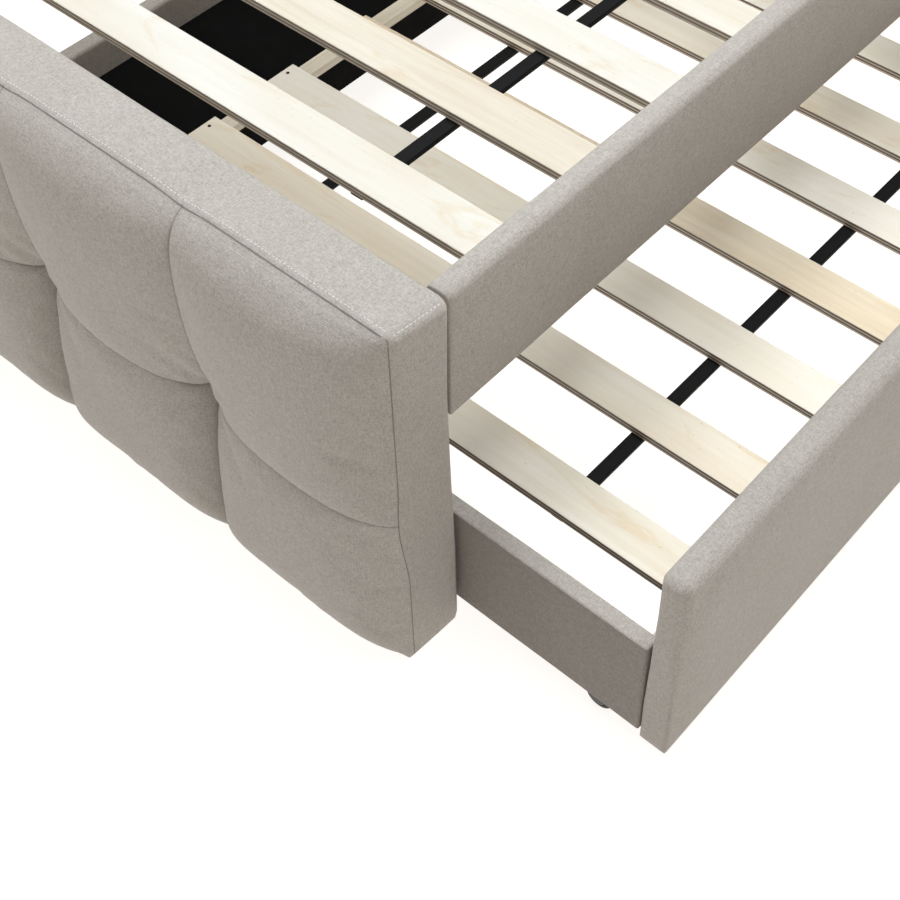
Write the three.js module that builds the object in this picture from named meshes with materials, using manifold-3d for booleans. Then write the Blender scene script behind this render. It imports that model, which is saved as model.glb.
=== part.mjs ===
// Upholstered trundle bed: a tufted bed frame with a slatted deck, and a low trundle on wheels
// that slides out from under its right side. Millimetres, +Z up, +X the way the trundle pulls
// out, +Y from the footboard to the headboard.
//
// The helpers work in bed coordinates: x = 0 is the bed's right side, y = 0 is the face of the
// footboard that the side rails meet, and z = 0 is the floor. The last lines move the whole bed
// so that its origin is the centre of its footprint.

import * as THREE from 'three';
import { RoundedBoxGeometry } from 'three/addons/geometries/RoundedBoxGeometry.js';
import { mergeVertices } from 'three/addons/utils/BufferGeometryUtils.js';
import Module from 'manifold-3d';

const wasm = await Module();
wasm.setup();

// ---- Driving dimensions ----

const MATTRESS = { width: 1372, length: 1905 };
const GAP = 0.3;

const RAIL = { board: 20, pad: 14, recess: 2, height: 180, top: 548 };
const BED_WIDTH = MATTRESS.width + 2 * (RAIL.board + RAIL.pad);

const PANEL = { core: 38, pad: 69, crown: 24 };
const PANEL_DEPTH = PANEL.core + PANEL.pad;
const FOOTBOARD_HEIGHT = 558;
const HEADBOARD_HEIGHT = 1094;

const SLAT = { width: 61, thickness: 12.5, count: 12, edgeRadius: 1.5 };
const DECK_TOP = 524;
const DECK_MARGIN = 74;
const LEDGER = { width: 18, height: 36 };
const BAR = { width: 18, height: 8, edgeRadius: 2, inset: 200, setBack: 4 };

const OPEN_TRAVEL = 300;
const TRUNDLE = { clearance: 9, frontTop: 329, frontBottom: 8, endTop: 187, endBottom: 20 };
const FRONT = { board: 20, pad: 18 };
const END_THICKNESS = 19;
const TRUNDLE_DECK_TOP = 170;
const TRUNDLE_DECK_WIDTH = 990;
const TRUNDLE_FIRST_SLAT = 95;
const TRUNDLE_BAR_INSETS = [195, 781];
const INNER_CLEAT = { width: 24, height: 14 };

const TRAY = { width: 240, wall: 12, wallBottom: 77, floorTop: 126, floorThickness: 9, back: 28 };

const WHEEL = { radius: 18, width: 11, bore: 3, crown: 2 };
const CASTER = { inset: 60, length: 42, sheet: 1.5, pin: 2.6, cheekRadius: 10, headroom: 3 };
const POCKET = { length: 46, skin: 3 };

// ---- Values worked out from them ----

const SLAT_PITCH = (MATTRESS.length - 2 * DECK_MARGIN - SLAT.width) / (SLAT.count - 1);
const DECK_LEFT = -BED_WIDTH + RAIL.board + RAIL.pad;
const DECK_RIGHT = -RAIL.board - RAIL.pad;

const FRONT_OUTER = OPEN_TRAVEL;
const FRONT_INNER = FRONT_OUTER - FRONT.board - FRONT.pad;
const TRUNDLE_FOOT = TRUNDLE.clearance;
const TRUNDLE_HEAD = MATTRESS.length - TRUNDLE.clearance;
const TRUNDLE_SLAT_BOTTOM = TRUNDLE_DECK_TOP - SLAT.thickness;
const INNER_END = FRONT_INNER - TRUNDLE_DECK_WIDTH;
const TRAY_BACK = INNER_END - TRAY.width;
const POCKET_TOP = 2 * WHEEL.radius + CASTER.headroom + CASTER.sheet + GAP;

// ---- Materials ----

const LOOKS = {
  linen: { color: 0xb3aca5, roughness: 0.95, metalness: 0 },
  linen_flat: { color: 0xa49c95, roughness: 0.95, metalness: 0 },
  slat_wood: { color: 0xe9e2cf, roughness: 0.6, metalness: 0 },
  trundle_wood: { color: 0xd9d0bc, roughness: 0.65, metalness: 0 },
  frame_wood: { color: 0xcbb896, roughness: 0.7, metalness: 0 },
  board_wood: { color: 0xb9a27c, roughness: 0.8, metalness: 0 },
  black_steel: { color: 0x17171a, roughness: 0.45, metalness: 0.6 },
  black_board: { color: 0x121212, roughness: 0.9, metalness: 0 },
  zinc_steel: { color: 0x9a9c9e, roughness: 0.35, metalness: 0.9 },
  tread: { color: 0x2a2b2d, roughness: 0.7, metalness: 0 },
};

const bed = new THREE.Group();

function addPart(name, geometry, look) {
  const mesh = new THREE.Mesh(geometry, new THREE.MeshStandardMaterial(LOOKS[look]));
  mesh.name = name;
  bed.add(mesh);
}

// ---- Shape helpers: every box is given by its lowest and highest corners ----

function box(low, high) {
  const geometry = new THREE.BoxGeometry(high[0] - low[0], high[1] - low[1], high[2] - low[2]);
  return geometry.translate((low[0] + high[0]) / 2, (low[1] + high[1]) / 2, (low[2] + high[2]) / 2);
}

function softBox(low, high, radius) {
  const size = high.map((value, axis) => value - low[axis]);
  const geometry = new RoundedBoxGeometry(size[0], size[1], size[2], 2, radius);
  return geometry.translate((low[0] + high[0]) / 2, (low[1] + high[1]) / 2, (low[2] + high[2]) / 2);
}

function roundedRectangle(width, height, radius) {
  const x = width / 2;
  const y = height / 2;
  const shape = new THREE.Shape();
  shape.moveTo(-x + radius, -y);
  shape.lineTo(x - radius, -y);
  shape.quadraticCurveTo(x, -y, x, -y + radius);
  shape.lineTo(x, y - radius);
  shape.quadraticCurveTo(x, y, x - radius, y);
  shape.lineTo(-x + radius, y);
  shape.quadraticCurveTo(-x, y, -x, y - radius);
  shape.lineTo(-x, -y + radius);
  shape.quadraticCurveTo(-x, -y, -x + radius, -y);
  return shape;
}

function toSolid(geometry) {
  geometry.deleteAttribute('normal');
  geometry.deleteAttribute('uv');
  const merged = mergeVertices(geometry, 1e-4);
  const vertProperties = new Float32Array(merged.attributes.position.array);
  const triVerts = new Uint32Array(merged.index.array);
  return new wasm.Manifold(new wasm.Mesh({ numProp: 3, vertProperties, triVerts }));
}

function toGeometry(solid) {
  const mesh = solid.getMesh();
  const geometry = new THREE.BufferGeometry();
  geometry.setAttribute('position', new THREE.BufferAttribute(new Float32Array(mesh.vertProperties), 3));
  geometry.setIndex(new THREE.BufferAttribute(new Uint32Array(mesh.triVerts), 1));
  geometry.computeVertexNormals();
  return geometry;
}

function join(geometries) {
  const solids = geometries.map(toSolid);
  return toGeometry(solids.reduce((whole, piece) => whole.add(piece)));
}

function cut(geometry, cutters) {
  return toGeometry(cutters.reduce((rest, cutter) => rest.subtract(toSolid(cutter)), toSolid(geometry)));
}

// ---- Bed frame ----

// The footboard is a plain wooden core with a thick pad on the face that the room sees.
function footboard() {
  const edge = 6;
  addPart('footboard_core', box([-BED_WIDTH + edge, -PANEL.core, 0],
    [-edge, 0, FOOTBOARD_HEIGHT - edge]), 'board_wood');
  addPart('footboard_pad', softBox([-BED_WIDTH, -PANEL_DEPTH, 0],
    [0, -PANEL.core - GAP, FOOTBOARD_HEIGHT], PANEL.crown), 'linen');
}

// The headboard's core is thick up to the rails' height, and thinner behind its tufted pad.
function headboard() {
  const face = MATTRESS.length;
  const back = face + PANEL_DEPTH;
  const shelf = FOOTBOARD_HEIGHT;
  const edge = 6;
  addPart('headboard_core', join([
    box([-BED_WIDTH + edge, face, 0], [-edge, back, shelf]),
    box([-BED_WIDTH + edge, face + PANEL.pad, shelf - 1], [-edge, back, HEADBOARD_HEIGHT - edge]),
  ]), 'board_wood');
  addPart('headboard_pad', softBox([-BED_WIDTH, face, shelf + GAP],
    [0, face + PANEL.pad - GAP, HEADBOARD_HEIGHT], PANEL.crown), 'linen');
}

// Each side rail is a board with a thin pad outside and a ledger strip inside for the slats.
function sideRail(side, outer, inward) {
  const low = RAIL.top - RAIL.height;
  const padOuter = outer + inward * RAIL.recess;
  const boardOuter = outer + inward * RAIL.pad;
  const boardInner = boardOuter + inward * RAIL.board;
  const ledgerTop = DECK_TOP - SLAT.thickness - GAP;
  const spanX = (a, b, bottom, top, start, end) => [
    [Math.min(a, b), start, bottom],
    [Math.max(a, b), end, top],
  ];
  const start = GAP;
  const end = MATTRESS.length - GAP;
  addPart(`${side}_rail_board`, box(...spanX(boardOuter, boardInner, low + 2, RAIL.top - 6, start, end)),
    'board_wood');
  addPart(`${side}_rail_pad`, softBox(
    ...spanX(padOuter, boardOuter - inward * GAP, low, RAIL.top, start, end), 5), 'linen_flat');
  addPart(`${side}_rail_ledger`, box(...spanX(boardInner + inward * GAP,
    boardInner + inward * LEDGER.width, ledgerTop - LEDGER.height, ledgerTop, 10, MATTRESS.length - 10)),
    'frame_wood');
}

function slatGeometry(left, right, start, top) {
  const profile = roundedRectangle(SLAT.width, SLAT.thickness, SLAT.edgeRadius);
  const geometry = new THREE.ExtrudeGeometry(profile, {
    depth: right - left, bevelEnabled: false, curveSegments: 2,
  });
  geometry.rotateY(Math.PI / 2);
  geometry.rotateX(Math.PI / 2);
  geometry.computeBoundingBox();
  const at = geometry.boundingBox.min;
  return geometry.translate(left - at.x, start - at.y, top - SLAT.thickness - at.z);
}

function slatRow(prefix, left, right, firstStart, top, look) {
  for (let i = 0; i < SLAT.count; i += 1) {
    const name = `${prefix}_slat_${String(i + 1).padStart(2, '0')}`;
    addPart(name, slatGeometry(left, right, firstStart + i * SLAT_PITCH, top), look);
  }
}

// A flat steel bar that ties the slats together from below, from the first slat to the last.
function supportBar(name, centre, top, firstSlat) {
  const half = BAR.width / 2;
  const start = firstSlat + BAR.setBack;
  const end = firstSlat + (SLAT.count - 1) * SLAT_PITCH + SLAT.width - BAR.setBack;
  addPart(name, softBox([centre - half, start, top - BAR.height], [centre + half, end, top],
    BAR.edgeRadius), 'black_steel');
}

// ---- Trundle ----

function trundlePanels() {
  addPart('trundle_front_board', box([FRONT_INNER, TRUNDLE_FOOT + 4, TRUNDLE.frontBottom + 4],
    [FRONT_INNER + FRONT.board, TRUNDLE_HEAD - 4, TRUNDLE.frontTop - 4]), 'board_wood');
  addPart('trundle_front_pad', softBox([FRONT_INNER + FRONT.board + GAP, TRUNDLE_FOOT, TRUNDLE.frontBottom],
    [FRONT_OUTER, TRUNDLE_HEAD, TRUNDLE.frontTop], 6), 'linen_flat');
  addPart('tray_back_panel', softBox([TRAY_BACK - TRAY.back, TRUNDLE_FOOT, TRUNDLE.endBottom],
    [TRAY_BACK, TRUNDLE_HEAD, TRUNDLE.endTop], 4), 'linen_flat');
}

// An end panel has a pocket for each wheel, open below and on the inner face.
function endPanel(end, outer, inward, wheelCentres) {
  const inner = outer + inward * END_THICKNESS;
  const panel = box([TRAY_BACK + GAP, Math.min(outer, inner), TRUNDLE.endBottom],
    [FRONT_INNER - GAP, Math.max(outer, inner), TRUNDLE.endTop]);
  const skin = outer + inward * POCKET.skin;
  const beyond = inner + inward;
  const pockets = wheelCentres.map((x) => box(
    [x - POCKET.length / 2, Math.min(skin, beyond), TRUNDLE.endBottom - 1],
    [x + POCKET.length / 2, Math.max(skin, beyond), POCKET_TOP],
  ));
  addPart(`trundle_${end}_panel`, cut(panel, pockets), 'linen_flat');
}

function trundleDeck() {
  const start = TRUNDLE_FOOT + END_THICKNESS + GAP;
  const end = TRUNDLE_HEAD - END_THICKNESS - GAP;
  const top = TRUNDLE_SLAT_BOTTOM - GAP;
  addPart('trundle_front_ledger', box([FRONT_INNER - GAP - LEDGER.width, start, top - LEDGER.height],
    [FRONT_INNER - GAP, end, top]), 'frame_wood');
  addPart('trundle_inner_cleat', box([INNER_END, start, top - INNER_CLEAT.height],
    [INNER_END + INNER_CLEAT.width, end, top]), 'frame_wood');
  TRUNDLE_BAR_INSETS.forEach((inset, i) => {
    supportBar(`trundle_bar_${['front', 'back'][i]}`, FRONT_INNER - inset, top, TRUNDLE_FIRST_SLAT);
  });
  slatRow('trundle', INNER_END, FRONT_INNER - GAP, TRUNDLE_FIRST_SLAT, TRUNDLE_DECK_TOP, 'trundle_wood');
}

// The storage tray runs behind the deck, between the inner cleat and the back panel.
function storageTray() {
  const start = TRUNDLE_FOOT + END_THICKNESS + GAP;
  const end = TRUNDLE_HEAD - END_THICKNESS - GAP;
  const wallTop = TRUNDLE_SLAT_BOTTOM - INNER_CLEAT.height - 2 * GAP;
  addPart('tray_front_wall', box([INNER_END, start, TRAY.wallBottom],
    [INNER_END + TRAY.wall, end, wallTop]), 'black_board');
  addPart('tray_floor', box([TRAY_BACK + GAP, start, TRAY.floorTop - TRAY.floorThickness],
    [INNER_END - GAP, end, TRAY.floorTop]), 'black_board');
}

// ---- Wheels ----

function cheek(y) {
  const top = 2 * WHEEL.radius + CASTER.headroom;
  const half = CASTER.length / 2 - 6;
  const radius = CASTER.cheekRadius;
  const shape = new THREE.Shape();
  shape.moveTo(-half, top);
  shape.lineTo(-radius, WHEEL.radius);
  shape.absarc(0, WHEEL.radius, radius, Math.PI, 2 * Math.PI, false);
  shape.lineTo(half, top);
  shape.closePath();
  const plate = new THREE.ExtrudeGeometry(shape, {
    depth: CASTER.sheet, bevelEnabled: false, curveSegments: 12,
  });
  plate.rotateX(Math.PI / 2);
  return plate.translate(0, y + CASTER.sheet, 0);
}

// The fork is a folded sheet over the wheel, with its pin fixed across the two cheeks.
function forkGeometry(x, y) {
  const depth = WHEEL.width + 1 + 2 * CASTER.sheet;
  const top = 2 * WHEEL.radius + CASTER.headroom;
  const roof = box([-CASTER.length / 2, -depth / 2, top - 0.2],
    [CASTER.length / 2, depth / 2, top + CASTER.sheet]);
  const pin = new THREE.CylinderGeometry(CASTER.pin, CASTER.pin, depth - 0.4, 20);
  pin.translate(0, 0, WHEEL.radius);
  const geometry = join([roof, cheek(-depth / 2), cheek(depth / 2 - CASTER.sheet), pin]);
  return geometry.translate(x, y, 0);
}

function wheelGeometry(x, y) {
  const half = WHEEL.width / 2;
  const shoulder = WHEEL.radius - WHEEL.crown;
  const profile = [
    new THREE.Vector2(WHEEL.bore, -half),
    new THREE.Vector2(shoulder, -half),
    new THREE.Vector2(WHEEL.radius, -half + WHEEL.crown),
    new THREE.Vector2(WHEEL.radius, half - WHEEL.crown),
    new THREE.Vector2(shoulder, half),
    new THREE.Vector2(WHEEL.bore, half),
    new THREE.Vector2(WHEEL.bore, -half),
  ];
  return new THREE.LatheGeometry(profile, 32).translate(x, y, WHEEL.radius);
}

// ---- Assembly ----

footboard();
headboard();
sideRail('right', 0, -1);
sideRail('left', -BED_WIDTH, 1);
slatRow('deck', DECK_LEFT + 1, DECK_RIGHT - 1, DECK_MARGIN, DECK_TOP, 'slat_wood');
[['right', -BAR.inset], ['left', -BED_WIDTH + BAR.inset]].forEach(([side, x]) => {
  supportBar(`deck_bar_${side}`, x, DECK_TOP - SLAT.thickness - GAP, DECK_MARGIN);
});

const wheelXs = [
  ['front', FRONT_INNER - CASTER.inset],
  ['middle', (FRONT_INNER + TRAY_BACK) / 2],
  ['back', TRAY_BACK + CASTER.inset],
];
trundlePanels();
trundleDeck();
storageTray();
[['foot', TRUNDLE_FOOT, 1], ['head', TRUNDLE_HEAD, -1]].forEach(([end, outer, inward]) => {
  endPanel(end, outer, inward, wheelXs.map(([, x]) => x));
  const y = outer + inward * (POCKET.skin + GAP + (WHEEL.width + 1) / 2 + CASTER.sheet);
  wheelXs.forEach(([place, x]) => {
    addPart(`fork_${end}_${place}`, forkGeometry(x, y), 'zinc_steel');
    addPart(`wheel_${end}_${place}`, wheelGeometry(x, y), 'tread');
  });
});

const lowX = -BED_WIDTH;
const highX = FRONT_OUTER;
const lowY = -PANEL_DEPTH;
const highY = MATTRESS.length + PANEL_DEPTH;
bed.position.set(-(lowX + highX) / 2, -(lowY + highY) / 2, 0);

export default bed;
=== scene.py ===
"""Looks of an upholstered trundle bed: tufted linen, plywood slats, black steel and small wheels.

Everything is in metres in the CAD frame: +X is the way the trundle pulls out, +Y runs from the
footboard to the headboard, and the floor is z = 0.
"""

import math

import bmesh
import bpy
import numpy as np
from mathutils import Matrix, Vector, noise
from mathutils.bvhtree import BVHTree


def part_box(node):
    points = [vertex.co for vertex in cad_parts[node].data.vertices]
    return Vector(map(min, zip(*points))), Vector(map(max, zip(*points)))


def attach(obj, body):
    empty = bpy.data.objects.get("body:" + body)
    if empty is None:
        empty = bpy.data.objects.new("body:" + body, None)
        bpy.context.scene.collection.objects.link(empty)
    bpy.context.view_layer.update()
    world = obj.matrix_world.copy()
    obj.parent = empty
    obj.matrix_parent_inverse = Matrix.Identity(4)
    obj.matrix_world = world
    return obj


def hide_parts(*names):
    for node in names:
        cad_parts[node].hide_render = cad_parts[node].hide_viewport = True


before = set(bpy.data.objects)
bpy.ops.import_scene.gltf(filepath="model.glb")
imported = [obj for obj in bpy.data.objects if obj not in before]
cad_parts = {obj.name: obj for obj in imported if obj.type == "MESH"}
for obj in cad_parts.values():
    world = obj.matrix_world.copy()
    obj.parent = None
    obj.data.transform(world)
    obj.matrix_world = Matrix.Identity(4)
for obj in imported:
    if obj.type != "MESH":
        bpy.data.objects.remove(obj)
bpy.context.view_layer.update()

MM = 0.001
CROWN = 24 * MM             # how far the tufted pads' CAD solids stand in front of their edge seams
TUFT_COLUMNS = 5
FOOTBOARD_TUFTS = 264 * MM  # height of the tufts above each tufted panel's foot
HEADBOARD_TUFTS = 250 * MM
FOOTBOARD_CELL = 7 * MM     # mesh size of the tufted covers
HEADBOARD_CELL = 10 * MM
CLOTH_FRAMES = 12
LAYER_SCALE = 62            # plywood layers on the slats' edges, about 2.5 mm each
FOOT_RADIUS = 3 * MM        # how tightly the linen turns under each cover's lower edges
PANEL_RADIUS = 13 * MM      # rounding of the tufted panels' other edges
HEEL_RADIUS = 14 * MM       # and of their lower back edges
RAIL_RADIUS = 11 * MM
FRONT_RADIUS = 14 * MM
TRAY_RADIUS = 8 * MM
END_RADIUS = 4.5 * MM
BASE_RADIUS = 6 * MM
PANEL_FOAM = 4 * MM         # soft thickness on the inner side of the trundle's end panels
RAIL_END_GAP = 2.7 * MM     # the shadow gap where a rail's cover meets a tufted panel
POCKET_CLEARANCE = 1.5 * MM  # round the wheel forks in the trundle's end panels
SEAM_CORD = 0.6 * MM        # radius of the dark cord in the tufted panels' edge seams
FLOOR_REACH = 30
UP = Vector((0, 0, 1))


# ---- Node helpers ----

def new_material(name):
    """A material with an empty tree but for its output and Principled shader."""
    material = bpy.data.materials.new(name)
    material.use_nodes = True
    tree = material.node_tree
    tree.nodes.clear()
    output = tree.nodes.new("ShaderNodeOutputMaterial")
    shader = tree.nodes.new("ShaderNodeBsdfPrincipled")
    tree.links.new(shader.outputs["BSDF"], output.inputs["Surface"])
    return material, tree, shader


def object_coordinates(tree, scale=(1, 1, 1), offset=(0, 0, 0)):
    """The point's place in the row frame, stretched by scale."""
    coordinates = tree.nodes.new("ShaderNodeTexCoord")
    mapping = tree.nodes.new("ShaderNodeMapping")
    mapping.inputs["Scale"].default_value = scale
    mapping.inputs["Location"].default_value = offset
    tree.links.new(coordinates.outputs["Object"], mapping.inputs["Vector"])
    return mapping.outputs["Vector"]


def noise_value(tree, vector, scale, detail=2.0, roughness=0.5, distortion=0.0):
    texture = tree.nodes.new("ShaderNodeTexNoise")
    texture.inputs["Scale"].default_value = scale
    texture.inputs["Detail"].default_value = detail
    texture.inputs["Roughness"].default_value = roughness
    texture.inputs["Distortion"].default_value = distortion
    tree.links.new(vector, texture.inputs["Vector"])
    return texture.outputs["Fac"]


def ramp(tree, value, stops):
    """Maps a value through (position, colour) stops."""
    node = tree.nodes.new("ShaderNodeValToRGB")
    elements = node.color_ramp.elements
    while len(elements) < len(stops):
        elements.new(0.5)
    for element, (position, colour) in zip(elements, stops):
        element.position = position
        element.color = (*colour, 1) if len(colour) == 3 else colour
    tree.links.new(value, node.inputs["Fac"])
    return node.outputs["Color"]


def grey(value):
    return (value, value, value)


def mix(tree, kind, factor, a, b):
    """Blends colour a with colour b; factor, a and b are sockets or plain values."""
    node = tree.nodes.new("ShaderNodeMix")
    node.data_type = "RGBA"
    node.blend_type = kind
    for socket, value in ((node.inputs[0], factor), (node.inputs[6], a), (node.inputs[7], b)):
        if isinstance(value, bpy.types.NodeSocket):
            tree.links.new(value, socket)
        elif isinstance(value, (int, float)):
            socket.default_value = value
        else:
            socket.default_value = (*value, 1)
    return node.outputs[2]


def math_node(tree, operation, a, b=0.0):
    node = tree.nodes.new("ShaderNodeMath")
    node.operation = operation
    for socket, value in ((node.inputs[0], a), (node.inputs[1], b)):
        if isinstance(value, bpy.types.NodeSocket):
            tree.links.new(value, socket)
        else:
            socket.default_value = value
    return node.outputs[0]


def upward(tree):
    """The Z part of the surface's normal."""
    geometry = tree.nodes.new("ShaderNodeNewGeometry")
    split = tree.nodes.new("ShaderNodeSeparateXYZ")
    tree.links.new(geometry.outputs["Normal"], split.inputs["Vector"])
    return split.outputs["Z"]


def bump(tree, shader, height, strength, distance):
    node = tree.nodes.new("ShaderNodeBump")
    node.inputs["Strength"].default_value = strength
    node.inputs["Distance"].default_value = distance
    tree.links.new(height, node.inputs["Height"])
    tree.links.new(node.outputs["Normal"], shader.inputs["Normal"])


# ---- Materials ----

def linen_material(name, light, dark, painted_shade):
    """Melange linen: two yarn colours in short streaks along X, Y and Z, a weave and sewn seams.

    The last argument is painted shade: a colour that darkens the cloth wherever it doesn't face up.
    """
    material, tree, shader = new_material(name)
    place = object_coordinates(tree)
    flecks = math_node(tree, "MULTIPLY", noise_value(tree, place, 640, detail=4, roughness=0.75), 0.31)
    for scale in ((150, 520, 520), (520, 150, 520), (520, 520, 150)):
        yarn = noise_value(tree, object_coordinates(tree, scale=scale), 1.0, detail=3, roughness=0.7)
        flecks = math_node(tree, "ADD", flecks, math_node(tree, "MULTIPLY", yarn, 0.23))
    colour = ramp(tree, flecks, [(0.42, dark), (0.58, light)])
    slubs = noise_value(tree, place, 70, detail=5, roughness=0.7, distortion=0.8)
    slub_colour = ramp(tree, slubs, [(0.34, (0.962, 0.956, 0.95)), (0.66, (1.022, 1.022, 1.024))])
    colour = mix(tree, "MULTIPLY", 1.0, colour, slub_colour)
    # Painted shade: the cloth is darker wherever it doesn't face up.
    tint = ramp(tree, upward(tree), [(0.3, painted_shade), (0.8, grey(1.0))])
    colour = mix(tree, "MULTIPLY", 1.0, colour, tint)
    cloud = noise_value(tree, place, 8, detail=3)
    cloud_colour = ramp(tree, cloud, [(0.3, (0.975, 0.97, 0.965)), (0.7, (1.015, 1.015, 1.02))])
    colour = mix(tree, "MULTIPLY", 1.0, colour, cloud_colour)

    # Dark along the sewn lines that the mesh marks.
    seam = tree.nodes.new("ShaderNodeAttribute")
    seam.attribute_name = "seam"
    colour = mix(tree, "MIX", seam.outputs["Fac"], colour, (0.15, 0.135, 0.12))
    tree.links.new(colour, shader.inputs["Base Color"])

    # The weave's relief.
    threads = []
    for direction in "XYZ":
        wave = tree.nodes.new("ShaderNodeTexWave")
        wave.bands_direction = direction
        wave.inputs["Scale"].default_value = 210
        wave.inputs["Distortion"].default_value = 3.0
        wave.inputs["Detail"].default_value = 2
        wave.inputs["Detail Scale"].default_value = 1.6
        tree.links.new(place, wave.inputs["Vector"])
        threads.append(wave.outputs["Fac"])
    weave = math_node(tree, "ADD", math_node(tree, "ADD", threads[0], threads[1]), threads[2])
    height = math_node(tree, "ADD", math_node(tree, "MULTIPLY", weave, 0.35),
                       math_node(tree, "MULTIPLY", flecks, 2.0))
    bump(tree, shader, height, 0.45, 0.6 * MM)
    rough = ramp(tree, flecks, [(0.3, grey(0.86)), (0.7, grey(0.98))])
    tree.links.new(rough, shader.inputs["Roughness"])
    shader.inputs["Sheen Weight"].default_value = 0.2
    shader.inputs["Sheen Roughness"].default_value = 0.5
    shader.inputs["Specular IOR Level"].default_value = 0.2
    return material


def slat_material(name, pale, dark, edge_pale, edge_dark, knot, variant, top):
    """Birch plywood cut into a slat: grain along X on the faces, thin layers on the edges, whose dark
    colour is partly painted shade on the trundle's slats.
    """
    material, tree, shader = new_material(name)
    shift = (0.37 * variant, 1.13 * variant, 0.0)
    place = object_coordinates(tree, offset=shift)
    stretched = object_coordinates(tree, scale=(1.6, 38, 1), offset=shift)
    grain = noise_value(tree, stretched, 3.2, detail=7, roughness=0.66, distortion=0.35)
    face = ramp(tree, grain, [(0.25, dark), (0.60, pale), (0.8, pale)])
    broad = noise_value(tree, object_coordinates(tree, scale=(1.1, 4.5, 1), offset=shift), 3.0, detail=2)
    tint = ramp(tree, broad, [(0.32, (0.93, 0.89, 0.82)), (0.6, (1.0, 1.0, 1.0))])
    face = mix(tree, "MULTIPLY", 0.9, face, tint)
    figure = noise_value(tree, object_coordinates(tree, scale=(2.2, 7, 1), offset=shift), 2.4,
                         detail=5, roughness=0.6, distortion=1.6)
    figure_tint = ramp(tree, figure, [(0.58, (1, 1, 1)), (0.66, (0.95, 0.89, 0.80)), (0.72, (1, 1, 1))])
    face = mix(tree, "MULTIPLY", 1.0, face, figure_tint)

    # A few small knots and specks.
    knots = tree.nodes.new("ShaderNodeTexVoronoi")
    knots.inputs["Scale"].default_value = 3.1
    tree.links.new(object_coordinates(tree, scale=(0.8, 2.2, 1), offset=shift), knots.inputs["Vector"])
    knot_mask = ramp(tree, knots.outputs["Distance"], [(0.016, grey(0.75)), (0.045, grey(0.0))])
    face = mix(tree, "MIX", knot_mask, face, knot)
    specks = noise_value(tree, place, 240, detail=1)
    speck_mask = ramp(tree, specks, [(0.73, grey(0.0)), (0.80, grey(0.35))])
    face = mix(tree, "MIX", speck_mask, face, knot)

    # The layers on the edges start at the slat's top.
    layers = tree.nodes.new("ShaderNodeTexWave")
    layers.bands_direction = "Z"
    layers.inputs["Scale"].default_value = LAYER_SCALE
    layers.inputs["Distortion"].default_value = 0.5
    layers.inputs["Detail"].default_value = 2
    layers.inputs["Detail Scale"].default_value = 0.3
    layers.inputs["Phase Offset"].default_value = (math.pi - 20 * LAYER_SCALE * top) % (2 * math.pi)
    tree.links.new(object_coordinates(tree), layers.inputs["Vector"])
    edge = ramp(tree, layers.outputs["Fac"], [(0.25, edge_dark), (0.75, edge_pale)])
    fibre = noise_value(tree, object_coordinates(tree, scale=(1, 1, 9), offset=shift), 70, detail=4)
    edge = mix(tree, "MULTIPLY", 1.0, edge, ramp(tree, fibre, [(0.3, grey(0.82)), (0.7, grey(1.05))]))

    on_face = ramp(tree, math_node(tree, "ABSOLUTE", upward(tree)), [(0.55, grey(0.0)), (0.8, grey(1.0))])
    tree.links.new(mix(tree, "MIX", on_face, edge, face), shader.inputs["Base Color"])
    rough = ramp(tree, grain, [(0.3, grey(0.62)), (0.7, grey(0.48))])
    tree.links.new(rough, shader.inputs["Roughness"])
    bump(tree, shader, math_node(tree, "ADD", grain, layers.outputs["Fac"]), 0.10, 0.4 * MM)
    shader.inputs["Coat Weight"].default_value = 0.05
    return material


def timber_material(name, pale, dark, knot):
    """Planed pine with its grain along Y."""
    material, tree, shader = new_material(name)
    stretched = object_coordinates(tree, scale=(30, 1.4, 30))
    grain = noise_value(tree, stretched, 2.6, detail=6, roughness=0.62, distortion=0.5)
    colour = ramp(tree, grain, [(0.32, dark), (0.62, pale)])
    knots = tree.nodes.new("ShaderNodeTexVoronoi")
    knots.inputs["Scale"].default_value = 4.2
    tree.links.new(object_coordinates(tree, scale=(2, 1, 2)), knots.inputs["Vector"])
    mask = ramp(tree, knots.outputs["Distance"], [(0.03, grey(0.8)), (0.09, grey(0.0))])
    colour = mix(tree, "MIX", mask, colour, knot)
    tree.links.new(colour, shader.inputs["Base Color"])
    rough = ramp(tree, grain, [(0.3, grey(0.75)), (0.7, grey(0.6))])
    tree.links.new(rough, shader.inputs["Roughness"])
    bump(tree, shader, grain, 0.2, 0.5 * MM)
    return material


def coated_material(name, colour, worn, metallic, roughness, grain_scale, depth, specular=0.5):
    """A plain coated surface with fine texture, uneven gloss and slightly rubbed patches."""
    material, tree, shader = new_material(name)
    place = object_coordinates(tree)
    fine = noise_value(tree, place, grain_scale, detail=3, roughness=0.6)
    patches = noise_value(tree, place, 35, detail=3)
    mask = ramp(tree, patches, [(0.55, grey(0.0)), (0.8, grey(0.5))])
    tree.links.new(mix(tree, "MIX", mask, colour, worn), shader.inputs["Base Color"])
    rough = ramp(tree, patches, [(0.3, grey(roughness - 0.06)), (0.7, grey(roughness + 0.1))])
    tree.links.new(rough, shader.inputs["Roughness"])
    shader.inputs["Metallic"].default_value = metallic
    shader.inputs["Specular IOR Level"].default_value = specular
    bump(tree, shader, fine, 0.25, depth)
    return material


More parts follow.
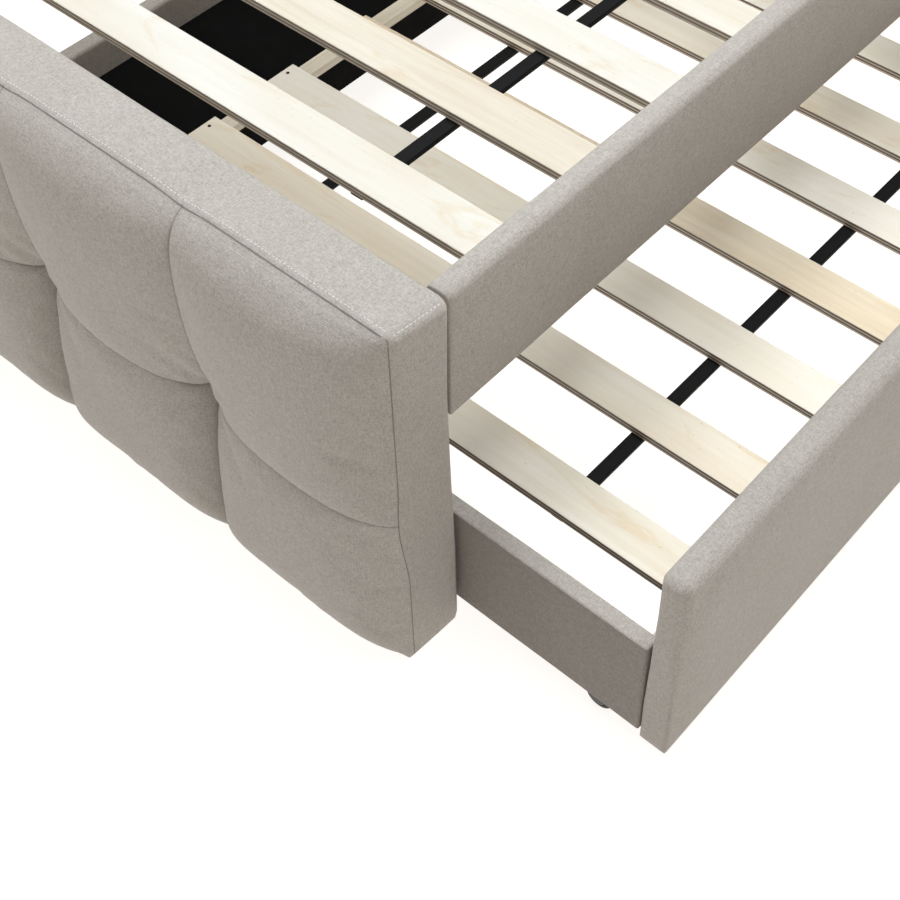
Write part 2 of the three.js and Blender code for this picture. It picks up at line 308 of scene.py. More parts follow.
LIGHT_YARN, DARK_YARN = (0.523, 0.490, 0.452), (0.336, 0.310, 0.281)
# The linen carries a little painted shade: darker and warmer wherever it doesn't face up.
LINEN = linen_material("melange_linen", LIGHT_YARN, DARK_YARN, (0.965, 0.943, 0.915))
# A shaded copy of the linen for the trundle's end panels: painted shade on every face that doesn't look
# up, standing in for the footboard's shadow.
SHADED_LINEN = linen_material("shaded_linen", LIGHT_YARN, DARK_YARN, (0.60, 0.565, 0.53))
THREAD = coated_material("pale_thread", (0.74, 0.72, 0.68), (0.60, 0.58, 0.54), 0.0, 0.8, 900, 0.1 * MM)
DARK_THREAD = coated_material("seam_thread", (0.22, 0.20, 0.18), (0.27, 0.245, 0.225), 0.0, 0.9,
                              900, 0.1 * MM)
PINE = timber_material("pine", (0.62, 0.565, 0.455), (0.50, 0.435, 0.33), (0.28, 0.19, 0.12))
BLACK_STEEL = coated_material("black_powder_coat", (0.006, 0.006, 0.0065), (0.014, 0.014, 0.015), 0.0, 0.6,
                              1400, 0.15 * MM, specular=0.12)
BLACK_BOARD = coated_material("black_board", (0.003, 0.003, 0.003), (0.006, 0.006, 0.006), 0.0, 0.88,
                              600, 0.1 * MM, specular=0.08)
ZINC = coated_material("zinc_plate", (0.46, 0.46, 0.47), (0.28, 0.28, 0.29), 0.95, 0.34, 700, 0.05 * MM)
FORK_STEEL = coated_material("fork_steel", (0.09, 0.088, 0.085), (0.20, 0.20, 0.20), 0.85, 0.42, 700,
                             0.05 * MM)
HUB = coated_material("wheel_hub", (0.055, 0.053, 0.05), (0.11, 0.105, 0.10), 0.0, 0.4, 500, 0.1 * MM)
TREAD = coated_material("wheel_tread", (0.035, 0.035, 0.038), (0.07, 0.07, 0.07), 0.0, 0.55, 800, 0.1 * MM)
SLAT_VARIANTS = 4
SLAT_KNOT = (0.36, 0.24, 0.14)


def slat_set(name, tones, edge_pale, edge_dark, top):
    """A few woods of one kind: each tone is (colour between the grain lines, how dark the lines are)."""
    woods = []
    for i, (pale, depth) in enumerate(tones):
        dark = tuple(channel * (1 - depth * (1 + 0.5 * j)) for j, channel in enumerate(pale))
        woods.append(slat_material(f"{name}_{i + 1}", pale, dark, edge_pale, edge_dark, SLAT_KNOT,
                                   i + 1, top))
    return woods


DECK_WOOD = slat_set("deck_birch", [((0.72, 0.70, 0.645), 0.06), ((0.71, 0.68, 0.605), 0.08),
                                    ((0.72, 0.705, 0.655), 0.05), ((0.68, 0.63, 0.54), 0.11)],
                     (0.72, 0.64, 0.53), (0.28, 0.225, 0.175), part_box("deck_slat_01")[1][2])
# The trundle's birch is paler than the deck's: painted light making up for the shade that the deck and
# rails cast on its slats. The four tones differ as the wood does.
TRUNDLE_WOOD = slat_set("trundle_birch", [((0.81, 0.77, 0.68), 0.06), ((0.78, 0.695, 0.55), 0.11),
                                          ((0.82, 0.785, 0.705), 0.05), ((0.80, 0.745, 0.64), 0.08)],
                        # Near-black dark edge layers: partly the plywood's dark layers, partly painted
                        # shade along the slats' edges.
                        (0.58, 0.485, 0.375), (0.07, 0.05, 0.035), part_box("trundle_slat_01")[1][2])


# ---- Mesh helpers ----

def dress(obj, material):
    obj.data.materials.clear()
    obj.data.materials.append(material)


def add_piece(name, vertices, faces, material, body, smooth=True):
    mesh = bpy.data.meshes.new(name)
    mesh.from_pydata([tuple(v) for v in vertices], [], faces)
    mesh.update()
    if smooth:
        mesh.shade_smooth()
    obj = bpy.data.objects.new(name, mesh)
    bpy.context.scene.collection.objects.link(obj)
    dress(obj, material)
    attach(obj, body)
    return obj


def joined_box(*nodes):
    """The box round several CAD nodes."""
    boxes = [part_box(node) for node in nodes]
    low = Vector([min(b[0][i] for b in boxes) for i in range(3)])
    high = Vector([max(b[1][i] for b in boxes) for i in range(3)])
    return low, high


def grid_lines(low, high, radius, cell, dense=(), low_radius=None):
    """Line positions along one side: close round both edges and the dense places, even between."""
    bends = [1 - math.tan(math.radians(angle)) for angle in (45, 30, 15)]
    edge = [radius * bend for bend in bends]
    low_edge = [(low_radius or radius) * bend for bend in bends]
    count = max(1, round((high - low - 2 * radius) / cell))
    even = [low + radius + (high - low - 2 * radius) * i / count for i in range(count + 1)]
    offsets = [-7 * MM, -3 * MM, -1.2 * MM, 0, 1.2 * MM, 3 * MM, 7 * MM]
    close = [place + offset for place in dense for offset in offsets]
    kept = [line for line in even if all(abs(line - place) > 9 * MM for place in dense)]
    return np.array(sorted([low + e for e in low_edge] + kept + close + [high - e for e in edge]))


def block_surface(xs, ys, zs, low, high, radius, low_radius):
    """A closed block with edges rounded by radius at its top and low_radius at its foot.

    Gives the points, their outward normals, the faces, and the points before rounding.
    """
    lines = (xs, ys, zs)
    counts = [len(line) - 1 for line in lines]
    index, flat = {}, []

    def point(i, j, k):
        key = (i, j, k)
        if key not in index:
            index[key] = len(flat)
            flat.append((xs[i], ys[j], zs[k]))
        return index[key]

    faces = []
    for axis in range(3):
        a, b = (axis + 1) % 3, (axis + 2) % 3
        for side in (0, counts[axis]):
            for i in range(counts[a]):
                for j in range(counts[b]):
                    corners = []
                    for da, db in ((0, 0), (1, 0), (1, 1), (0, 1)):
                        key = [0, 0, 0]
                        key[axis], key[a], key[b] = side, i + da, j + db
                        corners.append(point(*key))
                    faces.append(corners if side else corners[::-1])
    flat = np.array(flat)
    rise = np.clip((flat[:, 2:] - low[2]) / (high[2] - low[2]) * 2 - 0.5, 0, 1)
    rounding = low_radius + (radius - low_radius) * rise
    core = np.clip(flat, np.array(low) + rounding, np.array(high) - rounding)
    away = flat - core
    normals = away / np.linalg.norm(away, axis=1)[:, None]
    return core + normals * rounding, normals, faces, flat


def waviness(points, seed, wavelength):
    """A smooth value from -1 to 0 at each point, for cloth that was pulled by hand."""
    offset = Vector((seed * 3.7, seed * 1.9, seed * 2.3))
    values = [noise.noise(Vector(p) / wavelength + offset) for p in points]
    return np.clip(np.array(values), -1, 1) * 0.5 - 0.5


def inflate(obj, held, pressure, slack, cap):
    """Swells the loose part of a cover like foam under cloth: a cloth simulation, applied.

    held is each point's grip, 1 where it is sewn or glued down. slack is the spare cloth, and cap
    is how far a point may move.
    """
    group = obj.vertex_groups.new(name="held")
    for index in np.nonzero(held > 0)[0]:
        group.add([int(index)], float(held[index]), "REPLACE")
    cloth = obj.modifiers.new("cloth", "CLOTH")
    cloth.settings.quality = 4
    cloth.settings.mass = 0.3
    cloth.settings.bending_stiffness = 1.5
    cloth.settings.air_damping = 2
    cloth.settings.use_pressure = True
    cloth.settings.uniform_pressure_force = pressure
    cloth.settings.shrink_min = -slack
    cloth.settings.vertex_group_mass = "held"
    cloth.settings.effector_weights.gravity = 0
    cloth.point_cache.frame_start = 1
    cloth.point_cache.frame_end = CLOTH_FRAMES
    before = np.array([tuple(vertex.co) for vertex in obj.data.vertices])
    for frame_number in range(1, CLOTH_FRAMES + 1):
        bpy.context.scene.frame_set(frame_number)
    shaped = obj.evaluated_get(bpy.context.evaluated_depsgraph_get()).data
    move = np.array([tuple(vertex.co) for vertex in shaped.vertices]) - before
    length = np.linalg.norm(move, axis=1)
    soft = cap * np.tanh(length / cap) / np.maximum(length, 1e-9)
    after = before + move * soft[:, None] * (1 - held)[:, None]
    obj.modifiers.clear()
    obj.vertex_groups.clear()
    bpy.context.scene.frame_set(1)
    obj.data.vertices.foreach_set("co", after.ravel())
    obj.data.update()


def upholstered(name, low, high, radius, body, nodes, seed, crown=None, material=None,
                flat_ends=False, cell=11 * MM, sag=1.6 * MM):
    """A board wrapped in thin foam and linen. crown is (axis, sign, height) of a fuller face.

    flat_ends makes the corners at both Y ends tighter than the others.
    """
    lines = [grid_lines(low[i], high[i], radius, min(cell, (high[i] - low[i]) / 4),
                        low_radius=FOOT_RADIUS if i == 2 else None) for i in range(3)]
    points, normals, faces, flat = block_surface(*lines, low, high, radius, FOOT_RADIUS)
    points = points + normals * (waviness(points, seed, 0.16) * sag)[:, None]
    if flat_ends:
        for end, inward in ((low[1], 1), (high[1], -1)):
            depth = (points[:, 1] - end) * inward
            points[:, 1] = np.where(depth < radius, end + inward * depth * 0.3, points[:, 1])
    if crown:
        axis, sign, height = crown
        others = [i for i in range(3) if i != axis]
        fall = np.ones(len(points))
        for i in others:
            reach = np.minimum(flat[:, i] - low[i], high[i] - flat[:, i])
            fall *= 1 - np.exp(-np.clip(reach, 0, None) / (26 * MM))
        facing = np.clip(normals[:, axis] * sign, 0, 1) ** 2
        points[:, axis] += sign * height * fall * facing
    obj = add_piece(name, points, faces, material or LINEN, body)
    if crown:
        inflate(obj, 1 - facing * np.clip(fall * 1.4, 0, 1), 2.0, 0.006, 2.5 * MM)
    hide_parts(*nodes)
    return obj


# ---- Tufted pads ----

def tuft_distances(u, v, width, tuft_level):
    """(across, up, along the face) from each place to its nearest tuft."""
    column = width / TUFT_COLUMNS
    centre = np.clip(np.round(u / column), 1, TUFT_COLUMNS - 1) * column
    du, dv = u - centre, v - tuft_level
    reach = np.sqrt(du ** 2 + (dv * np.where(dv > 0, 0.8, 0.95)) ** 2)
    return du, dv, reach


PAD_FULLNESS = 41 * MM      # how far a tufted face swells out of its edge plane
HOLLOW, HOLLOW_REACH = 25 * MM, 58 * MM   # the wide hollow round each tuft
PIT, PIT_REACH = 10 * MM, 13 * MM         # and the tight pit in its middle
CREASE = 2.4 * MM           # half the width of the crease along a seam
FOLD = 1.6 * MM             # height of the small folds that fan out from a tuft


def tufted_height(u, v, width, height, tuft_level):
    """How far a tufted face stands out of its edge plane, at u across and v up, in metres."""
    du, dv, reach = tuft_distances(u, v, width, tuft_level)
    across, away = np.abs(du), np.abs(dv)

    # Full in the middle, down to the edge plane along the top, the foot and both ends.
    top = 1 - np.exp(-np.clip(height - 5 * MM - v, 0, None) / (25 * MM))
    to_side = np.clip(np.minimum(u, width - u), 0, None)
    bottom = 1 - np.exp(-np.clip(v, 0, None) / (22 * MM - 12 * MM * np.exp(-to_side / (45 * MM))))
    low_down = np.clip(-(dv + 20 * MM) / (120 * MM), 0, 1)
    side = 1 - np.exp(-np.clip(to_side - 3 * MM, 0, None) / (42 * MM - 13 * MM * low_down))
    body = PAD_FULLNESS * top * bottom * side

    # The column seams pull valleys, deeper and narrower below the tufts and shallower at the foot.
    below = 1 / (1 + np.exp(np.clip(dv / (34 * MM), -30, 30)))
    shallower = 1 - 0.45 * np.exp(-np.clip(v, 0, None) / (75 * MM))
    valley = (13 * MM + 17 * MM * below) * top * bottom * shallower
    valley *= np.exp(-(across / (40 * MM - 20 * MM * below)) ** 1.05)

    # The seam across is a faint dip; each tuft is a wide hollow with a tight pit in its middle.
    cross = 3 * MM * np.exp(-(away / (22 * MM)) ** 1.4) * side
    dimple = HOLLOW * np.exp(-(reach / HOLLOW_REACH) ** 1.1)
    pit = PIT * np.exp(-(reach / PIT_REACH) ** 1.6)

    # Both seams crease the cloth, most near the tufts, where small folds fan out.
    near = np.exp(-reach / (60 * MM))
    crease = (1.0 + 2.2 * near) * MM * np.exp(-(across / CREASE) ** 2) * top
    crease += (0.7 + 2.2 * near) * MM * np.exp(-(away / CREASE) ** 2) * side
    angle = np.arctan2(dv, du)
    folds = FOLD * np.cos(7 * angle + 0.6) * np.exp(-((reach - 34 * MM) / (20 * MM)) ** 2)
    return body - valley - cross - dimple - pit - crease + folds


def seam_strength(u, v, width, tuft_level):
    """1 on the sewn lines between the tufted panels, 0 away from them."""
    du, dv, reach = tuft_distances(u, v, width, tuft_level)
    across = np.exp(-(du / (1.0 * MM)) ** 2)
    along = np.exp(-(dv / (1.0 * MM)) ** 2)
    return np.clip(np.maximum(across, along), 0, 1) * 0.75


def pulled_edges(points, low, high, tuft_level):
    """Points on a tufted cover or its sewing, moved where the tufts pull its edges about.

    The top seam dips at every column seam, the side seams bulge at the tufts' level, and the
    panel's ends are fuller towards its back.
    """
    points = np.array(points, dtype=float)
    u, v = points[:, 0] - low[0], points[:, 2] - low[2]
    width, height = high[0] - low[0], high[2] - low[2]
    du, dv, _ = tuft_distances(u, v, width, tuft_level)
    forward = np.clip((high[1] - points[:, 1]) / (high[1] - low[1]), 0, 1) ** 1.5
    to_side = np.clip(np.minimum(u, width - u), 0, None)
    by_side = np.exp(-to_side / (32 * MM)) * forward
    points[:, 1] -= 3 * MM * np.exp(-(dv / (38 * MM)) ** 2) * by_side
    by_top = np.exp(-np.clip(height - v, 0, None) / (30 * MM)) * forward
    points[:, 2] -= 4 * MM * np.exp(-(du / (26 * MM)) ** 2) * by_top
    fullness = (3.5 + 6.5 * np.clip(v / height, 0, 1) ** 3) * MM
    at_end = np.exp(-to_side / (14 * MM)) * (1 - forward)
    points[:, 0] += np.where(u > width / 2, 1, -1) * fullness * at_end
    return points


def soft_heel(points, low, high, radius=HEEL_RADIUS):
    """Points with the panel's lower back edge turned in a rounder curve."""
    reach = np.stack([points[:, 1] - (high[1] - radius), (low[2] + radius) - points[:, 2]], axis=1)
    length = np.linalg.norm(reach, axis=1)
    outside = (reach.min(axis=1) > 0) & (length > radius)
    shrunk = reach * (radius / np.maximum(length, radius))[:, None]
    points[outside, 1] = high[1] - radius + shrunk[outside, 0]
    points[outside, 2] = low[2] + radius - shrunk[outside, 1]
    return points


def tufted_cover(name, low, high, tuft_level, nodes, seed, cell):
    """A whole panel in linen whose face towards -Y is sewn in columns and pulled in at the tufts."""
    radius = PANEL_RADIUS
    width, height = high[0] - low[0], high[2] - low[2]
    seams = [low[0] + width * i / TUFT_COLUMNS for i in range(1, TUFT_COLUMNS)]
    xs = grid_lines(low[0], high[0], radius, cell, seams)
    ys = grid_lines(low[1], high[1], radius, 12 * MM)
    zs = grid_lines(low[2], high[2], radius, cell, [low[2] + tuft_level], FOOT_RADIUS)
    points, normals, faces, flat = block_surface(xs, ys, zs, low, high, radius, FOOT_RADIUS)
    points = points + normals * (waviness(points, seed, 0.2) * 1.4 * MM)[:, None]
    facing = np.clip(-normals[:, 1], 0, 1) ** 2
    u, v = flat[:, 0] - low[0], flat[:, 2] - low[2]
    points[:, 1] -= tufted_height(u, v, width, height, tuft_level) * facing
    points = soft_heel(pulled_edges(points, low, high, tuft_level), low, high)
    obj = add_piece(name, points, faces, LINEN, "bed_frame")
    sewn = seam_strength(u, v, width, tuft_level)
    _, _, reach = tuft_distances(u, v, width, tuft_level)
    near_tuft = np.exp(-(reach / (16 * MM)) ** 2)
    # Only the front is loose, and its seams and tufts are held.
    loose = (normals[:, 1] < -0.99) * (1 - np.clip(sewn * 2, 0, 1)) * (1 - near_tuft)
    inflate(obj, 1 - loose, 3.0, 0.004, 5 * MM)
    seam = obj.data.attributes.new("seam", "FLOAT", "POINT")
    seam.data.foreach_set("value", sewn * (normals[:, 1] < -0.6))
    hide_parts(*nodes)
    return obj


# ---- Sewing ----

def stitch_row(name, path, up, body, length=3.4 * MM, gap=1.7 * MM, width=1.0 * MM):
    """Pale stitches lying along a line of points, each a small rounded bar."""
    path = [Vector(p) for p in path]
    pieces = [(b - a).length for a, b in zip(path, path[1:])]
    total = sum(pieces)
    vertices, faces = [], []
    sides = 6
    profile = ((-0.5, 0.35), (-0.32, 1.0), (0.32, 1.0), (0.5, 0.35))
    at = gap
    while at + length < total:
        start, rest = 0, at + length / 2
        while rest > pieces[start]:
            rest -= pieces[start]
            start += 1
        along = (path[start + 1] - path[start]).normalized()
        centre = path[start] + along * rest
        side = along.cross(up).normalized()
        first = len(vertices)
        for t, swell in profile:
            for s in range(sides):
                angle = 2 * math.pi * s / sides
                offset = side * math.cos(angle) + up * math.sin(angle) * 0.7
                vertices.append(centre + along * t * length + offset * width / 2 * swell)
        for ring in range(len(profile) - 1):
            for s in range(sides):
                a, b = first + ring * sides + s, first + ring * sides + (s + 1) % sides
                faces.append([a, b, b + sides, a + sides])
        faces.append([first + s for s in reversed(range(sides))])
        faces.append([first + (len(profile) - 1) * sides + s for s in range(sides)])
        at += length + gap
    obj = add_piece(name, vertices, faces, THREAD, body)
    return obj


def welt(name, path, radius, body, sides=8):
    """A thin cord of dark thread sunk along a sewn edge."""
    path = [Vector(p) for p in path]
    vertices, faces = [], []
    for i, p in enumerate(path):
        along = (path[min(i + 1, len(path) - 1)] - path[max(i - 1, 0)]).normalized()
        side = along.cross(Vector((0.3, 0.5, 0.81))).normalized()
        over = side.cross(along).normalized()
        for s in range(sides):
            angle = 2 * math.pi * s / sides
            vertices.append(p + (side * math.cos(angle) + over * math.sin(angle)) * radius)
    for i in range(len(path) - 1):
        for s in range(sides):
            a, b = i * sides + s, i * sides + (s + 1) % sides
            faces.append([a, b, b + sides, a + sides])
    faces.append(list(reversed(range(sides))))
    faces.append([(len(path) - 1) * sides + s for s in range(sides)])
    obj = add_piece(name, vertices, faces, DARK_THREAD, body)
    return obj


# ---- The bed ----

def tufted_box(panel):
    """The box of a tufted cover: from its pad's edge seams to the back of its core."""
    low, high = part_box(f"{panel}_pad")
    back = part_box(f"{panel}_core")[1][1]
    return Vector((low[0], low[1] + CROWN, low[2])), Vector((high[0], back, high[2]))


def tufted_panels():
    for panel, level, nodes, seed, cell in (
            ("footboard", FOOTBOARD_TUFTS, ["footboard_pad", "footboard_core"], 1, FOOTBOARD_CELL),
            ("headboard", HEADBOARD_TUFTS, ["headboard_pad"], 2, HEADBOARD_CELL)):
        low, high = tufted_box(panel)
        cover = tufted_cover(f"{panel}_cover", low, high, level, nodes, seed, cell)
        edge_sewing(panel, cover, low, high, level)


def headboard_base():
    """The plain lower part of the headboard, under its tufted pad."""
    pad_low, pad_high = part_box("headboard_pad")
    core_low, core_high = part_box("headboard_core")
    low = Vector((pad_low[0], core_low[1], core_low[2]))
    high = Vector((pad_high[0], core_high[1], pad_low[2] - 0.5 * MM))
    upholstered("headboard_base_cover", low, high, BASE_RADIUS, "bed_frame", ["headboard_core"], 3)


def laid_on(cover, points, outward):
    """The places where lines dropped inwards through the points meet the cover."""
    tree = BVHTree.FromPolygons([vertex.co for vertex in cover.data.vertices],
                                [face.vertices for face in cover.data.polygons])
    outward = Vector(outward).normalized()
    hits = [tree.ray_cast(Vector(p) + outward * 0.06, -outward, 0.12)[0] for p in points]
    return [hit for hit in hits if hit]


def side_seam(x, front, heights, tuft_level):
    """A seam down one end of a tufted panel: along its front edge, and behind it below the tufts."""
    sunk = np.clip((tuft_level - 20 * MM - heights) / (100 * MM), 0, 1)
    depths = 8 * MM * sunk ** 2 * (3 - 2 * sunk)
    return [(x, front + depth, height) for depth, height in zip(depths, heights)]


def edge_sewing(name, cover, low, high, tuft_level):
    """The dark seam round a tufted panel's front edges, and the pale stitches beside it."""
    left, right = low[0] + 2 * MM, high[0] - 2 * MM
    front, top, foot = low[1] + 2 * MM, high[2] - 2 * MM, low[2] + 4 * MM
    upwards = np.linspace(foot, top - 6 * MM, 70)
    tufts = low[2] + tuft_level
    edges = ((side_seam(right, front, upwards, tufts), (1, -1, 0)),
             ([(x, front, top) for x in np.linspace(right - 4 * MM, left + 4 * MM, 170)], (0, -1, 1)),
             (side_seam(left, front, upwards[::-1], tufts), (-1, -1, 0)))
    seam = []
    for points, outward in edges:
        seam += laid_on(cover, pulled_edges(points, low, high, tuft_level), outward)
    welt(f"{name}_edge_seam", seam, SEAM_CORD, "bed_frame")
    beside = [(x, low[1] + 10 * MM, top) for x in np.linspace(left + 10 * MM, right - 10 * MM, 170)]
    beside = laid_on(cover, pulled_edges(beside, low, high, tuft_level), UP)
    stitch_row(f"{name}_top_stitches", beside, UP, "bed_frame")
    turn = Vector((1, 0, 1)).normalized()
    along = [(high[0] - 4 * MM, y, top) for y in np.linspace(low[1] + 10 * MM, high[1] - 12 * MM, 20)]
    along = laid_on(cover, pulled_edges(along, low, high, tuft_level), turn)
    stitch_row(f"{name}_side_stitches", along, turn, "bed_frame")


def side_rails():
    for side, sign, seed in (("right", 1, 4), ("left", -1, 5)):
        nodes = [f"{side}_rail_board", f"{side}_rail_pad"]
        low, high = joined_box(*nodes)
        low[1] += RAIL_END_GAP
        high[1] -= RAIL_END_GAP
        upholstered(f"{side}_rail_cover", low, high, RAIL_RADIUS, "bed_frame", nodes, seed,
                    crown=(0, sign, 2.5 * MM), flat_ends=True)


def open_inwards(low, high, end, amount):
    """Widens a box at one end of the trundle towards the trundle's middle."""
    if end == "foot":
        high[1] += amount
    else:
        low[1] -= amount


def trundle_covers():
    nodes = ["trundle_front_board", "trundle_front_pad"]
    low, high = joined_box(*nodes)
    upholstered("trundle_front_cover", low, high, FRONT_RADIUS, "trundle", nodes, 6,
                crown=(0, 1, 3 * MM))
    low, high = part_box("tray_back_panel")
    upholstered("tray_back_cover", low, high, TRAY_RADIUS, "trundle", ["tray_back_panel"], 7)
    for end, seed in (("foot", 8), ("head", 9)):
        low, high = (Vector(corner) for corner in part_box(f"trundle_{end}_panel"))
        open_inwards(low, high, end, PANEL_FOAM)
        cover = upholstered(f"trundle_{end}_cover", low, high, END_RADIUS, "trundle",
                            [f"trundle_{end}_panel"], seed, material=SHADED_LINEN)
        cut_wheel_pockets(cover, end)


def cut_wheel_pockets(cover, end):
    """Opens the end panel round its wheel forks, from below and from the inner side."""
    beyond = 20 * MM
    for place in ("front", "middle", "back"):
        low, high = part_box(f"fork_{end}_{place}")
        low = Vector(low) - Vector((POCKET_CLEARANCE, POCKET_CLEARANCE, beyond))
        high = Vector(high) + Vector((POCKET_CLEARANCE,) * 3)
        open_inwards(low, high, end, beyond)
        mesh = bpy.data.meshes.new("pocket")
        shape = bmesh.new()
        size = high - low
        bmesh.ops.create_cube(shape, size=1, matrix=Matrix.Translation((low + high) / 2)
                              @ Matrix.Diagonal((*size, 1)))
        shape.to_mesh(mesh)
        shape.free()
        cutter = bpy.data.objects.new("pocket", mesh)
        bpy.context.scene.collection.objects.link(cutter)
        modifier = cover.modifiers.new("pocket", "BOOLEAN")
        modifier.object = cutter
        modifier.operation = "DIFFERENCE"
        modifier.solver = "EXACT"
        keep_evaluated(cover)
        bpy.data.objects.remove(cutter)


def keep_evaluated(obj):
    """Replaces a piece's mesh with what its modifiers make of it."""
    graph = bpy.context.evaluated_depsgraph_get()
    mesh = bpy.data.meshes.new_from_object(obj.evaluated_get(graph))
    obj.modifiers.clear()
    obj.data = mesh


def carried_over_nodes():
    """Better materials for the CAD nodes whose shape is already right."""
    for name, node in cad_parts.items():
        if "_slat_" in name:
            variant = (int(name[-2:]) * 3 + 1) % SLAT_VARIANTS
            dress(node, (DECK_WOOD if name.startswith("deck") else TRUNDLE_WOOD)[variant])
        elif "ledger" in name or "cleat" in name:
            dress(node, PINE)
        elif "_bar_" in name:
            dress(node, BLACK_STEEL)
        elif name in ("tray_front_wall", "tray_floor"):
            dress(node, BLACK_BOARD)
        elif name.startswith("fork_"):
            dress(node, FORK_STEEL)


def turned(name, centre, profile, material, body, count=48):
    """A ring turned about the wheel's axle, along Y. profile is a closed list of (radius, y)."""
    vertices, faces = [], []
    for s in range(count):
        angle = 2 * math.pi * s / count
        for radius, y in profile:
            vertices.append(centre + Vector((radius * math.cos(angle), y, radius * math.sin(angle))))
    size = len(profile)
    for s in range(count):
        for i in range(size):
            a, b = s * size, (s + 1) % count * size
            faces.append([a + i, a + (i + 1) % size, b + (i + 1) % size, b + i])
    obj = add_piece(name, vertices, faces, material, body)
    obj.data.set_sharp_from_angle(angle=math.radians(35))
    return obj


def wheels():
    """Each wheel is a dark tread on a dark moulded hub that is dished round its axle."""
    for name in sorted(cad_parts):
        if not name.startswith("wheel_"):
            continue
        low, high = Vector(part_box(name)[0]), Vector(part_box(name)[1])
        centre = (low + high) / 2
        radius, half = (high.z - low.z) / 2, (high.y - low.y) / 2
        rim = radius - 5 * MM
        tread = [(rim, -half), (radius - 1.6 * MM, -half), (radius - 0.4 * MM, -half + 1.2 * MM),
                 (radius, 0), (radius - 0.4 * MM, half - 1.2 * MM), (radius - 1.6 * MM, half), (rim, half)]
        piece = turned(f"{name}_tread", centre, tread, TREAD, name)
        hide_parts(name)
        bore, web = 3 * MM, 1.5 * MM
        hub = [(bore, -half), (6 * MM, -half), (7 * MM, -web - 1 * MM), (rim - 2 * MM, -web - 0.6 * MM),
               (rim - 1 * MM, -half + 0.8 * MM), (rim, -half + 0.8 * MM), (rim, half - 0.8 * MM),
               (rim - 1 * MM, half - 0.8 * MM), (rim - 2 * MM, web + 0.6 * MM), (7 * MM, web + 1 * MM),
               (6 * MM, half), (bore, half)]
        turned(f"{name}_hub", centre, hub, HUB, name)


# ---- Fasteners ----

def screw_heads(name, places, axis, radius, height, body, material):
    """Low domed heads with a cross recess, all in one piece. axis points out of the surface."""
    axis = Vector(axis)
    side = axis.orthogonal().normalized()
    over = axis.cross(side)
    rings = ((1.0, 0.0), (0.96, 0.55), (0.72, 0.92), (0.42, 1.0))
    count = 24
    vertices, faces = [], []
    for place in places:
        first = len(vertices)
        for reach, lift in rings:
            for s in range(count):
                angle = 2 * math.pi * s / count
                out = side * math.cos(angle) + over * math.sin(angle)
                vertices.append(Vector(place) + out * radius * reach + axis * height * lift)
        for s in range(count):
            angle = 2 * math.pi * s / count
            arm = 0.36 if s % 6 in (0, 1, 5) else 0.14    # four arms of a cross
            out = side * math.cos(angle) + over * math.sin(angle)
            vertices.append(Vector(place) + out * radius * arm + axis * height * 0.35)
        for ring in range(len(rings)):
            for s in range(count):
                a, b = first + ring * count + s, first + ring * count + (s + 1) % count
                faces.append([a, b, b + count, a + count])
        faces.append([first + len(rings) * count + s for s in range(count)])
        faces.append([first + s for s in reversed(range(count))])
    obj = add_piece(name, vertices, faces, material, body, smooth=False)
    return obj


def slat_screws():
    """One screw near each end of every trundle slat."""
    from_inner_end, from_outer_end, from_edge = 9 * MM, 11 * MM, 20 * MM
    places = []
    for name in sorted(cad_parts):
        if name.startswith("trundle_slat_"):
            low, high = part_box(name)
            for x in (low[0] + from_inner_end, high[0] - from_outer_end):
                places.append((x, high[1] - from_edge, high[2]))
    screw_heads("trundle_slat_screws", places, UP, 2.6 * MM, 0.7 * MM, "trundle", BLACK_STEEL)


def bar_screws():
    """Under every slat, a screw up through the steel bar."""
    for bar, body in (("deck_bar_left", "bed_frame"), ("deck_bar_right", "bed_frame"),
                      ("trundle_bar_front", "trundle"), ("trundle_bar_back", "trundle")):
        prefix = bar.split("_")[0]
        low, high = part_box(bar)
        places = []
        for name in sorted(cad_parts):
            if name.startswith(f"{prefix}_slat_"):
                slat_low, slat_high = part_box(name)
                places.append(((low[0] + high[0]) / 2, (slat_low[1] + slat_high[1]) / 2, low[2]))
        screw_heads(f"{bar}_screws", places, -UP, 4 * MM, 1.8 * MM, body, ZINC)


# ---- Stage, light and camera ----

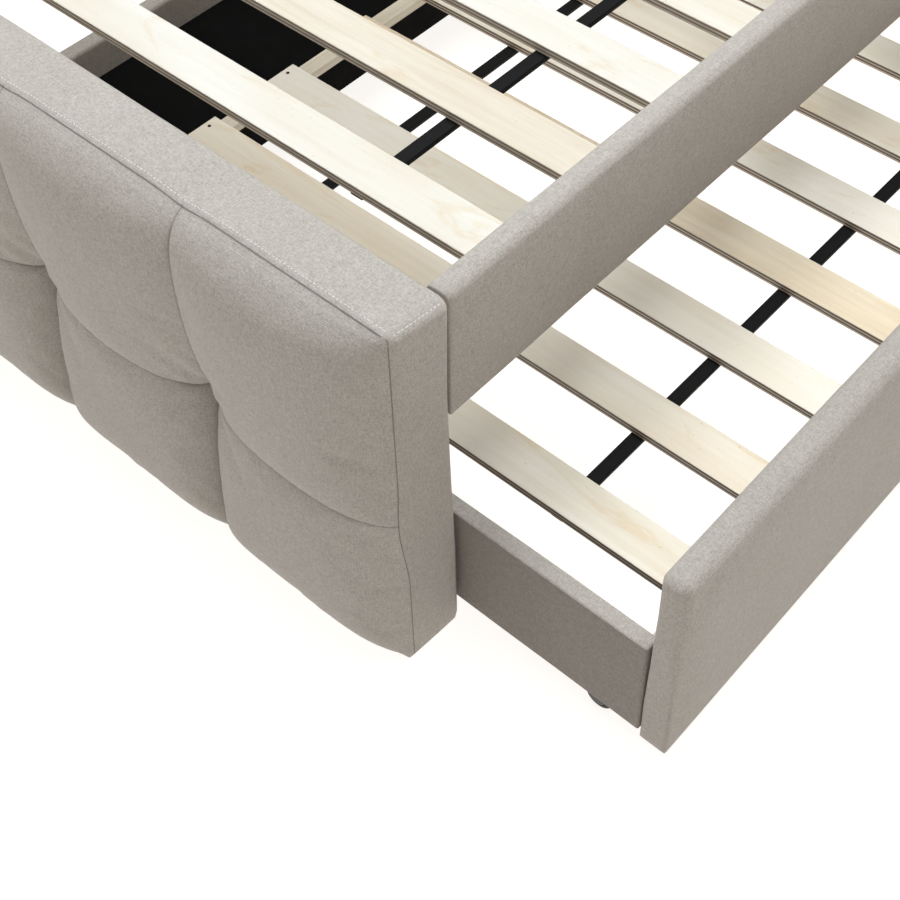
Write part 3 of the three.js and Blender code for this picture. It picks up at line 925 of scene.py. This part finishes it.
def stage():
    mesh = bpy.data.meshes.new("floor")
    corners = [(x * FLOOR_REACH, y * FLOOR_REACH, 0) for x, y in ((-1, -1), (1, -1), (1, 1), (-1, 1))]
    mesh.from_pydata(corners, [], [(0, 1, 2, 3)])
    floor = bpy.data.objects.new("floor", mesh)
    bpy.context.scene.collection.objects.link(floor)
    material, tree, shader = new_material("floor")
    shader.inputs["Base Color"].default_value = (0.25, 0.25, 0.25, 1)
    shader.inputs["Roughness"].default_value = 0.9
    shader.inputs["Emission Color"].default_value = (1, 0.97, 0.935, 1)
    shader.inputs["Emission Strength"].default_value = 0.92
    dress(floor, material)

    world = bpy.data.worlds.new("studio")
    bpy.context.scene.world = world
    world.use_nodes = True
    tree = world.node_tree
    direction = tree.nodes.new("ShaderNodeTexCoord").outputs["Generated"]
    split = tree.nodes.new("ShaderNodeSeparateXYZ")
    tree.links.new(direction, split.inputs["Vector"])
    sky = ramp(tree, split.outputs["Z"], [(0.0, (0.59, 0.572, 0.548)), (0.08, (0.51, 0.497, 0.48)),
                                          (0.32, grey(0.16)), (0.6, grey(0.10))])
    tree.links.new(sky, tree.nodes["Background"].inputs["Color"])
    bpy.context.scene.view_settings.view_transform = "Standard"


def area_light(name, place, target, size, power, colour):
    data = bpy.data.lights.new(name, "AREA")
    data.color = colour
    data.shape = "DISK"
    data.size = size
    data.energy = power
    lamp = bpy.data.objects.new(name, data)
    lamp.location = place
    lamp.rotation_mode = "QUATERNION"
    lamp.rotation_quaternion = (Vector(target) - Vector(place)).to_track_quat("-Z", "Y")
    bpy.context.scene.collection.objects.link(lamp)


def lights():
    area_light("overhead", (0.15, 0.3, 5.2), (0, 0.2, 0), 3.8, 334, (0.955, 0.985, 1.0))
    area_light("left_key", (-3.6, -3.2, 3.0), (-0.2, -0.9, 0.3), 2.4, 64, (0.96, 0.985, 1.0))
    area_light("right_fill", (4.6, -0.8, 1.6), (0.4, -0.3, 0.3), 2.6, 14, (1.0, 0.94, 0.85))


def camera():
    """The view is the lower part of a wider one, so the lens is shifted down."""
    data = bpy.data.cameras.new("camera")
    data.sensor_width = 36
    data.lens = 66.2
    data.shift_x = -0.032
    data.shift_y = -0.18
    eye = bpy.data.objects.new("camera", data)
    bpy.context.scene.collection.objects.link(eye)
    place = Vector((1.3047, -1.7395, 1.7001))
    target = Vector((0.4351, -0.7545, 0.314))
    roll = math.radians(-0.56)
    eye.location = place
    eye.rotation_mode = "QUATERNION"
    aim = (target - place).to_track_quat("-Z", "Y").to_matrix() @ Matrix.Rotation(roll, 3, "Z")
    eye.rotation_quaternion = aim.to_quaternion()
    bpy.context.scene.camera = eye


camera()
tufted_panels()
headboard_base()
side_rails()
trundle_covers()
carried_over_nodes()
wheels()
slat_screws()
bar_screws()
lights()
stage()
